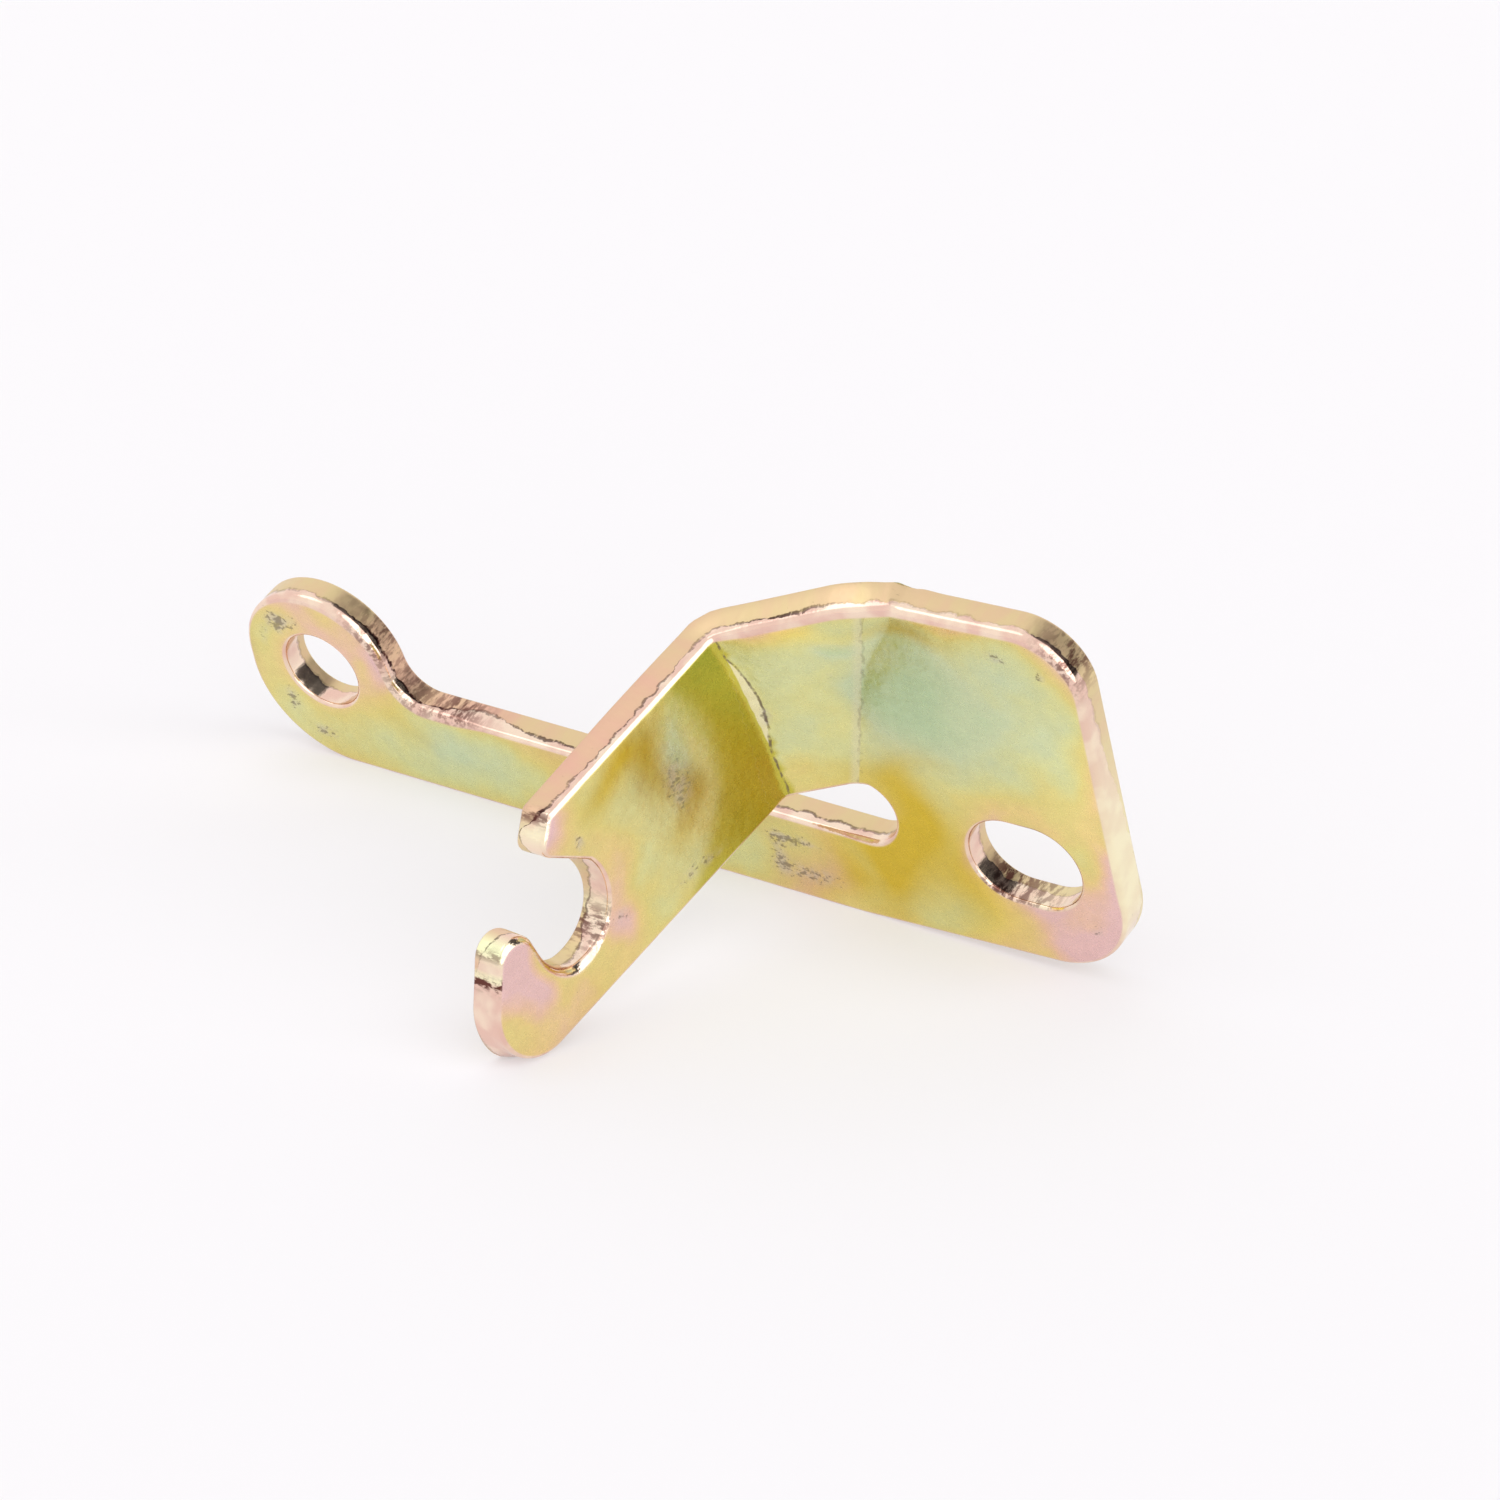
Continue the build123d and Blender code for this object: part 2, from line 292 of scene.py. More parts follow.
def folded(flat, depth):
    """The folded sheet's point for a point of the blank and a depth below its front face."""
    flat, depth = np.asarray(flat, float), np.broadcast_to(depth, len(flat))
    blank = np.stack([flat[:, 0], np.zeros(len(flat)), flat[:, 1]], 1)
    normals = [FORWARD, np.array(FACET_TURN)[:3, :3] @ FORWARD, np.array(ARM_TURN)[:3, :3] @ FORWARD]
    side_one, side_two = crease_sides(flat)

    # the dish moves the crease lines, and the strip and the eye have no crease
    rise = np.clip(flat[:, 1] - DISH_HEIGHT, -DISH_REACH, DISH_REACH)
    dish = DISH_RADIUS - DISH_DEPTH - np.sqrt(DISH_RADIUS ** 2 - rise ** 2)
    one, two = rad(FOLD_ONE), rad(FOLD_TWO)
    side_one = side_one - dish * (1 / math.sin(one) + 1 / math.tan(one)) / 2
    side_two = side_two + dish * (1 / math.sin(two) + 1 / math.tan(two)) / 2
    on_strip = (flat[:, 1] < STRIP_TOP) | (flat[:, 0] < EYE_END)
    on_strip |= (flat[:, 1] < RELIEF[1]) & (flat[:, 0] > SLOT_START)
    side_one = np.where(on_strip, AWAY, side_one)
    side_two = np.where(on_strip, AWAY, side_two)

    # the fold with sharp creases
    facet = moved(FACET_TURN, blank) + normals[1] * dish[:, None]
    sharp = np.where((side_one > 0)[:, None], blank, facet)
    sharp = np.where((side_two < 0)[:, None], moved(ARM_TURN, blank), sharp)

    # distances to the three front faces, and the dished facet's own normal
    axis_dir = np.array(FACET_TURN)[:3, 0]
    axis_point = moved(FACET_TURN, np.array([[CREASE_ONE[0], 0, DISH_HEIGHT]]))[0]
    axis_point = axis_point + normals[1] * (DISH_RADIUS - DISH_DEPTH)
    to_axis = axis_point - sharp
    to_axis = to_axis - (to_axis @ axis_dir)[:, None] * axis_dir
    reach = np.linalg.norm(to_axis, axis=1)
    facet_normal = to_axis / reach[:, None]
    facet_gap = DISH_RADIUS - reach
    arm_point = moved(ARM_TURN, np.array([[CREASE_TWO[0], 0, CREASE_TWO[1]]]))[0]
    plate_gap = sharp @ normals[0]
    arm_gap = (sharp - arm_point) @ normals[2]

    # each crease is rounded by a ball of the bend's radius that touches the two faces beside it
    by_plate = side_one + side_two > FACET_MIDDLE
    other = np.where(by_plate[:, None], normals[0], normals[2])
    other_gap = np.where(by_plate, plate_gap, arm_gap)
    facet_gap = np.where(on_strip, AWAY, facet_gap)
    lean = (facet_normal * other).sum(1)
    a, b = BEND_RADIUS - facet_gap, BEND_RADIUS - other_gap
    push_a = (a - lean * b) / (1 - lean ** 2)
    push_b = (b - lean * a) / (1 - lean ** 2)
    push_a, push_b = (
        np.where(push_b < 0, a, np.where(push_a < 0, 0, push_a)),
        np.where(push_a < 0, b, np.where(push_b < 0, 0, push_b)),
    )
    push = facet_normal * push_a[:, None] + other * push_b[:, None]
    normal = push / np.linalg.norm(push, axis=1)[:, None]
    return sharp + push - normal * (BEND_RADIUS + depth)[:, None]


def placed(points):
    """Metres in the part's frame: the bracket leans onto its hook."""
    turned = moved(Matrix.Rotation(rad(LEAN), 4, "X"), points)
    return (turned - SHIFT) * MM


# ---------------------------------------------------------------- building the mesh
def inside(points, loops):
    """Which points lie inside the outer loop and outside the holes."""
    result = np.zeros(len(points), bool)
    for loop in loops:
        ends = np.roll(loop, -1, 0)
        for p, q in zip(loop, ends):
            crosses = (p[1] > points[:, 1]) != (q[1] > points[:, 1])
            if crosses.any():
                level = p[0] + (points[:, 1] - p[1]) * (q[0] - p[0]) / (q[1] - p[1])
                result ^= crosses & (points[:, 0] < level)
    return result


def rim_distance(points, loops):
    """Distance to the nearest outline."""
    edge = np.concatenate(loops)
    return np.concatenate([
        np.sqrt(((block[:, None] - edge[None]) ** 2).sum(2).min(1))
        for block in np.array_split(points, BLOCKS)
    ])


def face_net(loops):
    """Points and triangles that fill a face between its rims."""
    rims = np.concatenate(loops)
    low, high = rims.min(0), rims.max(0)
    xs = np.arange(low[0], high[0], GRID)
    ys = np.arange(low[1], high[1], GRID * ROW)
    gx, gy = np.meshgrid(xs, ys)
    gx = gx + (np.arange(len(ys)) % 2)[:, None] * GRID / 2
    grid = np.stack([gx.ravel(), gy.ravel()], 1)
    grid = grid[inside(grid, loops)]
    grid = grid[rim_distance(grid, loops) > GRID * RIM_CLEAR]
    points = np.concatenate([rims, grid])
    edges, start = [], 0
    for loop in loops:
        count = len(loop)
        edges += [(start + i, start + (i + 1) % count) for i in range(count)]
        start += count
    made = delaunay_2d_cdt([Vector(p) for p in points], edges, [], 0, SAME_POINT)
    flat = np.array([tuple(v) for v in made[0]])
    source = [ids[0] if ids else -1 for ids in made[3]]
    triangles = np.array(made[2])
    middles = flat[triangles].mean(1)
    (ax, ay), (bx, by) = (flat[triangles[:, 1:]] - flat[triangles[:, :1]]).transpose(1, 2, 0)
    real = np.abs(ax * by - ay * bx) > LEAST_TRIANGLE
    return flat, source, triangles[inside(middles, loops) & real]


def profile():
    """The sheared edge from front to back: the roll, and then the torn profile's rows."""
    turns = np.linspace(0, math.pi / 2, ROLL_STEPS + 1)
    return [(1 - math.sin(t), 1 - math.cos(t), 0.0, 0.0) for t in turns] + TORN_PROFILE


def neighbours(values, steps):
    """The values of a closed row, moved by each number of steps to either side."""
    return np.array([np.roll(values, k) for k in range(-steps, steps + 1)])


def roll_widths(loop, is_hole):
    """Width of the roll at each point of an outline: wide along the top, less where it turns sharply."""
    ahead, behind = np.roll(loop, -1, 0) - loop, loop - np.roll(loop, 1, 0)
    length_ahead, length_behind = np.linalg.norm(ahead, axis=1), np.linalg.norm(behind, axis=1)
    turn = behind[:, 0] * ahead[:, 1] - behind[:, 1] * ahead[:, 0]
    turn = np.arcsin(np.clip(turn / length_ahead / length_behind, -1, 1))
    length = (length_ahead + length_behind) / 2
    bend = neighbours(turn, BEND_STEPS).sum(0) / neighbours(length, BEND_STEPS).sum(0)
    upward = np.clip(-inward(loop) @ ROLL_UP, 0, 1)
    width = np.full(len(loop), ROLL_HOLE) if is_hole else ROLL_LOW + (ROLL - ROLL_LOW) * upward
    x, y = loop.T
    for left, right, low, high in SLIM_ZONES:
        slim = (x > left) & (x < right) & (y > low) & (y < high)
        width = np.where(slim, np.minimum(width, ROLL_ARM), width)
    width = np.minimum(width, ROLL_OF_RADIUS / np.maximum(bend, LEAST_BEND))
    return neighbours(neighbours(width, LEAST_STEPS).min(0), MEAN_STEPS).mean(0)


class Sheet:
    """The folded sheet's points and faces as they are added, with each point's place on the blank."""

    def __init__(self):
        self.points, self.flats, self.depths, self.rims, self.faces = [], [], [], [], []
        self.count = 0

    def add(self, flat, depth, rim):
        """Add points of the blank at a depth and a distance from the rim; return the first one's number."""
        first = self.count
        self.points.append(folded(flat, depth))
        self.flats.append(flat)
        self.depths.append(np.broadcast_to(depth, len(flat)))
        self.rims.append(rim)
        self.count += len(flat)
        return first


def add_edge(sheet, loop, is_hole):
    """Add a sheared edge; return its front and its back rim, each with its first point's number."""
    normal = inward(loop)
    above_strip = (loop[:, 1] > STRIP_TOP) & (loop[:, 0] > EYE_END)
    width = roll_widths(loop, is_hole)
    spread = patches(SPREAD_PATCHES, loop, 0.0) * above_strip
    rings = []
    for share, drop, swell, low in profile():
        inset = share * width - swell * spread
        ring = loop + normal * inset[:, None]
        rings.append((ring, sheet.add(ring, low + drop * width * ROLL_DEPTH / ROLL, np.maximum(inset, 0))))
    for (_, upper), (_, lower) in zip(rings, rings[1:]):
        for i in range(len(loop)):
            j = (i + 1) % len(loop)
            sheet.faces.append((upper + i, lower + i, lower + j, upper + j))
    return rings[0], rings[-1]


def add_face(sheet, loops, rims, depth, order):
    """Fill the front or the back face between its rims; order -1 turns its triangles over."""
    on_rims = np.concatenate([first + np.arange(len(rim)) for rim, first in rims])
    flat, source, triangles = face_net([rim for rim, _ in rims])
    is_fresh = np.array([not 0 <= s < len(on_rims) for s in source])
    first = sheet.add(flat[is_fresh], depth, rim_distance(flat[is_fresh], loops))
    numbers = np.where(is_fresh, first + np.cumsum(is_fresh) - 1, on_rims[np.where(is_fresh, 0, source)])
    sheet.faces += [tuple(t[::order]) for t in numbers[triangles]]


def build_bracket():
    """The whole bracket as one closed skin that keeps each vertex's place on the blank."""
    loops = [outline(), arc(EYE_HOLE, EYE_HOLE_RADIUS, 360, 0)[:-1], slot_outline()]
    sheet = Sheet()
    edges = [add_edge(sheet, loop, n > 0) for n, loop in enumerate(loops)]
    add_face(sheet, loops, [front for front, _ in edges], 0.0, 1)
    add_face(sheet, loops, [back for _, back in edges], THICKNESS, -1)
    verts = placed(np.concatenate(sheet.points))
    verts[:, 2] = np.maximum(verts[:, 2], 0)        # the hook stands flat on the ground
    mesh = bpy.data.meshes.new("bracket_skin")
    mesh.from_pydata(verts.tolist(), [], [tuple(int(i) for i in f) for f in sheet.faces])
    mesh.validate()
    blank = np.column_stack([np.concatenate(sheet.flats), np.concatenate(sheet.depths)])
    attribute = mesh.attributes.new("blank", "FLOAT_VECTOR", "POINT")
    attribute.data.foreach_set("vector", blank.astype(np.float32).ravel())
    attribute = mesh.attributes.new("rim", "FLOAT", "POINT")
    attribute.data.foreach_set("value", np.concatenate(sheet.rims).astype(np.float32))
    mesh.polygons.foreach_set("use_smooth", [True] * len(mesh.polygons))
    bracket = bpy.data.objects.new("bracket_skin", mesh)
    bpy.context.scene.collection.objects.link(bracket)
    return bracket


# ---------------------------------------------------------------- plating
# The chromate film's colour, from thin (0, pink) to thick (1, blue-green), as sRGB, and its deep gold,
# which on the lower plate beside the arm is also a painted reflection of a yellow glow on the floor under
# the arm
FILM_COLOURS = [
    (0.00, (232, 195, 192)),
    (0.15, (236, 198, 170)),
    (0.30, (233, 208, 142)),
    (0.45, (226, 213, 138)),
    (0.60, (219, 219, 158)),
    (0.78, (206, 217, 178)),
    (1.00, (191, 212, 172)),
]
# Of these colours, the olive is a painted reflection, the cream and the pale one are painted highlights
# along the bends, and the gold is partly a painted reflection
GOLD_FILM_AND_REFLECTION, OLIVE_REFLECTION, LENS_HIGHLIGHT, CREASE_ONE_HIGHLIGHT = (214, 186, 64), (198, 188, 78), (240, 232, 194), (226, 222, 186)
SHEAR_PINK, SHEAR_CREAM = (232, 194, 178), (244, 220, 198)
# The third colour is a painted highlight
TORN_TAN, TORN_SALMON, PAINTED_GLINT = (222, 200, 152), (226, 180, 158), (253, 253, 206)
# The first two colours are partly painted dark reflection on the sheared edge; the third is bare metal in
# the scuffs and painted shade in the creases
SHEAR_LINE_AND_DARK_REFLECTION, BRUISE_AND_DARK_REFLECTION, WORN_METAL_AND_CREASE_SHADE, SMEAR = (66, 40, 36), (104, 62, 54), (112, 96, 84), (196, 188, 190)
FILM_INSIDE, FILM_RIM_FALL, FILM_REACH = 0.62, 0.22, 1.1   # general film, less by so much at the rims
# Places on the blank where the film is thicker or thinner: x, y, spread along x and y in mm, change
FILM_PATCHES = [
    (0.0, 10.0, 6.0, 5.0, -0.22),    # peach and yellow around the eye
    (3.0, 12.2, 3.5, 3.0, -0.18),
    (5.8, 8.8, 1.8, 2.0, -0.20),
    (-1.0, 15.0, 5.0, 1.4, -0.20),
    (10.5, 3.8, 4.5, 3.2, 0.20),     # green in the strip
    (20.5, 5.0, 3.0, 4.0, -0.20),
    (40.0, 3.0, 2.6, 4.0, -0.24),    # scuffed stretch below the arm
    (43.5, 3.6, 2.2, 4.0, -0.38),
    (50.0, 10.0, 3.0, 5.0, -0.12),
    (57.0, 6.0, 2.4, 5.0, -0.24),
    (63.0, 4.2, 3.6, 3.6, -0.60),    # pink below and beside the slot hole
    (66.5, 9.0, 2.2, 5.0, -0.48),
    (60.0, 14.0, 4.5, 1.1, -0.26),
    (55.2, 9.0, 0.9, 2.6, -0.30),
    (53.5, 22.5, 4.2, 6.0, 0.38),    # blue-green upper left of the plate
    (50.0, 19.0, 1.8, 4.0, 0.14),
    (59.0, 21.0, 3.0, 6.0, 0.10),
    (63.0, 16.5, 3.6, 2.4, -0.16),
    (66.8, 21.0, 1.6, 7.0, -0.20),
    (65.6, 27.4, 2.0, 2.0, -0.28),
    (60.0, 29.6, 7.0, 1.0, -0.30),
    (42.6, 28.0, 2.4, 1.4, -0.42),   # pink to yellow along the top of the facet
    (46.6, 27.6, 2.0, 1.0, -0.22),
    (45.2, 14.6, 2.4, 1.2, -0.12),
    (22.0, 22.4, 2.6, 2.6, -0.48),   # pink prong and hook
    (14.6, 14.0, 2.4, 3.4, -0.52),
    (24.4, 12.4, 1.8, 2.6, -0.46),
    (26.4, 17.0, 2.0, 4.6, -0.28),
    (18.0, 9.4, 5.0, 2.4, -0.28),
    (30.0, 12.0, 2.6, 2.0, -0.14),
    (33.9, 22.2, 1.2, 2.0, 0.30),
    (16.4, 15.6, 1.6, 2.0, -0.50),
    (17.6, 14.0, 1.4, 2.0, -0.34),
    (4.8, 9.2, 1.3, 2.4, -0.24),
    (0.5, 13.6, 3.0, 1.0, -0.12),
    (64.0, 22.5, 4.0, 5.0, 0.13),    # paler yellow-green at the right of the plate
    (47.8, 26.4, 1.6, 1.2, 0.30),
    (50.0, 18.0, 1.6, 2.0, -0.14),
]
# Places painted deep gold: the film's own colour, and on the lower plate beside the arm also a painted
# reflection of a yellow glow on the floor under the arm
GOLD_FILM_AND_REFLECTION_PATCHES = [
    (48.6, 5.0, 3.4, 5.0, 0.95),
    (51.0, 10.0, 3.0, 4.4, 0.85),
    (49.6, 14.4, 2.6, 2.4, 0.55),
    (55.6, 7.0, 3.0, 4.4, 0.65),
    (53.6, 27.9, 4.2, 0.8, 0.62),
    (54.0, 4.5, 2.0, 2.5, 0.20),
    (46.2, 27.0, 2.6, 0.8, 0.35),
    (54.0, 16.0, 3.0, 1.4, 0.20),
    (44.0, 3.6, 2.0, 3.0, 0.72),
    (21.0, 6.0, 3.0, 3.0, 0.25),
    (30.8, 22.0, 1.4, 2.8, 0.75),    # orange band across the arm
    (28.0, 22.8, 2.6, 2.0, 0.55),
    (33.0, 17.4, 1.4, 3.0, 0.70),
    (28.0, 22.2, 1.6, 1.4, 0.50),
    (6.8, 5.6, 2.2, 1.8, 0.30),
]
# Places painted darker or brighter: partly the metal's own tone, partly painted reflection, such as the
# dark reflection on the arm beside crease two
TONE_AND_REFLECTION_PATCHES = [
    (33.0, 18.5, 1.5, 2.8, -0.26),
    (30.6, 22.0, 1.8, 2.8, -0.22),
    (28.0, 23.0, 2.0, 1.6, -0.08),
    (36.5, 13.0, 2.6, 1.8, -0.10),
    (34.2, 22.0, 0.9, 1.8, 0.06),
    (53.0, 28.2, 3.0, 0.9, -0.12),
    (52.5, 22.0, 4.0, 7.0, -0.06),
    (40.5, 3.5, 3.0, 3.5, -0.10),
    (49.0, 19.0, 1.6, 5.0, -0.06),
    (46.0, 27.4, 3.2, 1.3, 0.20),
    (44.5, 23.0, 2.6, 4.0, 0.05),
    (64.5, 18.0, 3.0, 8.0, 0.08),
    (66.8, 16.0, 1.4, 7.0, 0.08),
    (39.2, 24.2, 1.6, 1.4, 0.14),
    (56.5, 5.0, 1.6, 3.0, 0.11),
    (-6.2, 9.5, 0.8, 2.6, -0.14),
]
# Edge of the olive stretch beside crease two, a painted reflection of the facet and plate in the arm:
# distance from the crease at a height, and how it curves away
OLIVE_REACH, OLIVE_HEIGHT, OLIVE_CURVE, OLIVE_SOFT, OLIVE_END = 4.0, 21.0, 0.06, 0.35, 0.3
# Places where the ragged dark line behind the roll is strong; elsewhere it is faint. The line is partly the
# ragged edge between shear and tear and partly painted dark reflection
LINE_FAINT = 0.30
LINE_PATCHES = [
    (5.0, 12.5, 3.0, 4.0, 0.8),
    (9.0, 8.5, 3.0, 3.0, 0.7),
    (20.0, 7.4, 10.0, 1.5, 0.5),
    (43.0, 7.4, 6.0, 1.5, 0.4),
    (43.5, 29.5, 3.6, 2.5, 0.8),
    (30.0, 25.5, 9.0, 4.0, 0.4),
    (68.5, 15.0, 3.0, 12.0, -0.35),
    (57.0, 31.0, 8.0, 2.0, -0.15),
    (24.0, 12.0, 3.0, 3.0, 0.5),
    (21.4, 23.2, 1.2, 1.0, 0.9),
    (15.4, 17.0, 1.2, 0.9, 0.5),
    (14.0, 12.0, 3.0, 5.0, -0.20),
]
# Places on the sheared edge with dark mottled marks: partly the torn metal's own dark marks, partly painted
# dark reflection, as in the slot hole and around the prong's end
BRUISE_AND_DARK_REFLECTION_PATCHES = [
    (5.4, 12.6, 2.2, 2.0, 0.9),
    (8.2, 9.4, 2.0, 2.4, 1.2),
    (11.6, 7.6, 2.0, 0.8, 1.1),
    (23.4, 13.0, 1.8, 1.6, 1.0),
    (13.7, 14.8, 1.0, 0.40, 1.7),
    (14.6, 16.6, 0.6, 0.3, 0.9),
    (21.5, 23.4, 0.5, 0.5, 1.0),
    (57.8, 6.4, 2.2, 1.2, 1.2),
    (60.6, 5.8, 2.0, 0.5, 0.5),
    (66.3, 28.8, 2.4, 2.0, 1.2),
]
# Places on the sheared edge with a painted highlight, pale yellowish white
PAINTED_GLINT_PATCHES = [
    (14.9, 16.9, 0.9, 0.8, 1.0),
    (13.9, 15.2, 0.5, 0.3, 0.8),
    (20.9, 22.4, 0.7, 0.8, 0.45),
    (60.6, 5.9, 1.8, 0.6, 0.25),
    (68.4, 13.0, 1.8, 11.0, 0.80),
    (24.2, 14.4, 0.6, 0.8, 0.5),
]
# Places where the torn part is reddish rather than tan
SALMON_PATCHES = [
    (7.0, 10.5, 3.0, 4.5, 0.55),
    (12.0, 7.4, 5.0, 1.2, 0.40),
    (29.0, 25.0, 11.0, 3.0, 0.75),
    (14.0, 14.0, 3.0, 8.0, 0.70),
]
SALMON_LEAST = 0.2
ABOVE_STRIP = 2.0       # this far above the strip its marks end and the arm's begin
WALL_DEPTH = 0.15       # below this depth, and as far above the back, the faces turn into the sheared edge
# Places where the smooth shear reaches deeper, by so many mm
DEEP_PATCHES = [
    (0.0, 8.5, 3.6, 3.6, 1.8),
    (60.0, 9.2, 5.0, 4.0, 1.5),
    (68.5, 12.0, 2.5, 12.0, 1.8),
    (13.5, 12.5, 2.6, 6.0, 2.0),
    (20.6, 22.2, 1.2, 1.3, 1.5),
    (30.5, 25.0, 8.5, 3.0, -0.30),
    (24.0, 13.6, 3.0, 4.0, 1.2),
    (24.0, 7.4, 12.0, 1.5, -0.12),
    (44.0, 7.4, 8.0, 1.5, 0.10),
]
# The lens-shaped painted highlight along the bend beside crease two; its bulge also moves that crease's
# dark line
LENS_BULGE, LENS_HEIGHT, LENS_REACH = 0.8, 20.6, 4.4
FAR = 9.0               # distance from a crease where it has no mark
# Scuffed places, where specks of bare grey metal show
SCUFF_PATCHES = [
    (-3.2, 12.2, 0.9, 1.0, 1.3),
    (-1.8, 12.6, 1.4, 0.8, 0.7),
    (-4.8, 11.0, 0.6, 1.4, 0.7),
    (-3.4, 4.8, 0.6, 1.2, 1.2),
    (-1.0, 2.4, 1.2, 0.6, 1.1),
    (40.5, 5.2, 2.2, 0.5, 1.3),
    (41.5, 2.4, 3.0, 0.9, 1.0),
    (39.2, 3.6, 0.7, 2.0, 0.8),
    (33.0, 19.0, 1.3, 2.6, 1.0),
    (33.0, 12.0, 3.0, 0.5, 0.9),
    (23.5, 20.2, 0.4, 0.7, 1.4),
    (25.3, 13.0, 0.7, 0.6, 1.0),
    (41.7, 19.0, 0.35, 0.7, 1.6),
    (60.2, 27.9, 0.9, 0.35, 1.3),
    (63.5, 27.2, 0.5, 0.4, 1.2),
    (65.2, 5.0, 0.5, 0.4, 1.2),
    (47.0, 22.7, 0.3, 0.3, 1.4),
]


SRGB_LIFT, SRGB_POWER = 0.055, 2.4


def linear(colour):
    """Linear colour with alpha from an sRGB colour of 0 to 255 that isn't nearly black."""
    return tuple(((c / 255 + SRGB_LIFT) / (1 + SRGB_LIFT)) ** SRGB_POWER for c in colour) + (1.0,)


def paint_attributes(mesh):
    """Film, tone, scuffs and distances of each vertex, from its place on the blank."""
    count = len(mesh.vertices)
    blank = np.zeros(count * 3, np.float32)
    mesh.attributes["blank"].data.foreach_get("vector", blank)
    blank = blank.reshape(-1, 3)
    flat, depth = blank[:, :2], blank[:, 2]
    front = depth < THICKNESS / 2
    rim = np.zeros(count, np.float32)
    mesh.attributes["rim"].data.foreach_get("value", rim)
    rim_fall = FILM_RIM_FALL * np.exp(-rim / FILM_REACH)
    side_one, side_two = crease_sides(flat)
    above = flat[:, 1] > STRIP_WIDTH + ABOVE_STRIP
    beside_slot = (flat[:, 1] > RELIEF[1]) & (flat[:, 0] > SLOT_START)
    olive_edge = -OLIVE_REACH - OLIVE_CURVE * (flat[:, 1] - OLIVE_HEIGHT) ** 2
    painted_olive_reflection = 1 / (1 + np.exp((olive_edge - side_two) / OLIVE_SOFT))
    lens = LENS_BULGE * np.clip(1 - ((flat[:, 1] - LENS_HEIGHT) / LENS_REACH) ** 2, 0, 1)
    values = {
        "film": FILM_INSIDE - rim_fall + patches(FILM_PATCHES, flat),
        "gold_film_and_reflection": np.clip(patches(GOLD_FILM_AND_REFLECTION_PATCHES, flat), 0, 1),
        "tone_and_reflection": 1 + patches(TONE_AND_REFLECTION_PATCHES, flat) * front,
        "scuff": patches(SCUFF_PATCHES, flat, 0.0) * front,
        "line": np.clip(LINE_FAINT + patches(LINE_PATCHES, flat, 0.0), 0, 1),
        "deep": patches(DEEP_PATCHES, flat, 0.0),
        "bruise_and_dark_reflection": patches(BRUISE_AND_DARK_REFLECTION_PATCHES, flat, 0.0),
        "painted_glint": np.clip(patches(PAINTED_GLINT_PATCHES, flat, 0.0), 0, 1),
        "salmon": SALMON_LEAST + patches(SALMON_PATCHES, flat, 0.0),
        "painted_olive_reflection": front * painted_olive_reflection * (side_two < OLIVE_END) * above,
        "wall": np.clip(np.minimum(depth, THICKNESS - depth) / WALL_DEPTH, 0, 1),
        "side_two": side_two,
        "crease_one": np.where(front & beside_slot, side_one, FAR),
        "crease_two": np.where(front & above, side_two - lens, FAR),
    }
    for name, value in values.items():
        attribute = mesh.attributes.new(name, "FLOAT", "POINT")
        attribute.data.foreach_set("value", value.astype(np.float32))


class Nodes:
    """Short calls for building a node tree."""

    def __init__(self, tree):
        self.tree = tree

    def add(self, kind, inputs=(), **settings):
        node = self.tree.nodes.new("ShaderNode" + kind)
        for name, value in settings.items():
            setattr(node, name, value)
        for key, value in dict(inputs).items():
            if isinstance(value, bpy.types.NodeSocket):
                self.tree.links.new(value, node.inputs[key])
            else:
                node.inputs[key].default_value = value
        return node

    def attribute(self, name, output="Fac"):
        return self.add("Attribute", attribute_name=name).outputs[output]

    def math(self, operation, a, b=0.0, clamp=False):
        return self.add("Math", {0: a, 1: b}, operation=operation, use_clamp=clamp).outputs[0]

    def noise(self, vector, scale, detail, roughness=0.5):
        settings = {"Vector": vector, "Scale": scale, "Detail": detail, "Roughness": roughness}
        return self.add("TexNoise", settings).outputs["Fac"]

    def range(self, value, low, high, to_low=0.0, to_high=1.0):
        settings = {0: value, 1: low, 2: high, 3: to_low, 4: to_high}
        return self.add("MapRange", settings, interpolation_type="SMOOTHSTEP").outputs[0]

    def spread(self, vector, noise, low, high):
        """Noise spread out between two levels."""
        return self.range(self.noise(vector, *noise), *NOISE_SPAN, low, high)

    def mix(self, factor, a, b, blend="MIX"):
        return self.add("Mix", {0: factor, 6: a, 7: b}, data_type="RGBA", blend_type=blend).outputs[2]

    def ramp(self, value, stops):
        node = self.add("ValToRGB", {0: value})
        elements = node.color_ramp.elements
        while len(elements) < len(stops):
            elements.new(0.5)
        for element, (place, colour) in zip(elements, stops):
            element.position = place
            element.color = colour
        return node.outputs["Color"]


# Noise in the plating: scale, detail and roughness, over the blank in mm
NOISE_SPAN = (0.3, 0.7)         # it seldom leaves this span
NOISE_MIDDLE = (0.35, 0.65)
NOISE_BREAKS = (0.35, 0.6)      # where it breaks up a line or a smear
DRIFT_NOISE, DRIFT = (0.22, 2.0), 0.06
MOTTLE_NOISE, MOTTLE = (1.2, 2.0), 0.01
CLOUD_NOISE, CLOUD = (0.8, 3.0), (0.97, 1.02)
CREAM_NOISE = (0.5, 2.0)
BLOTCH_NOISE, BLOTCH = (0.6, 3.0), 0.2
RAGGED_NOISE, RAGGED = (0.8, 4.0, 0.6), (-0.05, 0.30)       # of the dark line, in mm below the roll
THICK_NOISE, THICK = (0.45, 2.0), (0.04, 0.24)              # half the line's thickness in mm
LINE_CORE = 0.5                                             # share of it that is fully dark
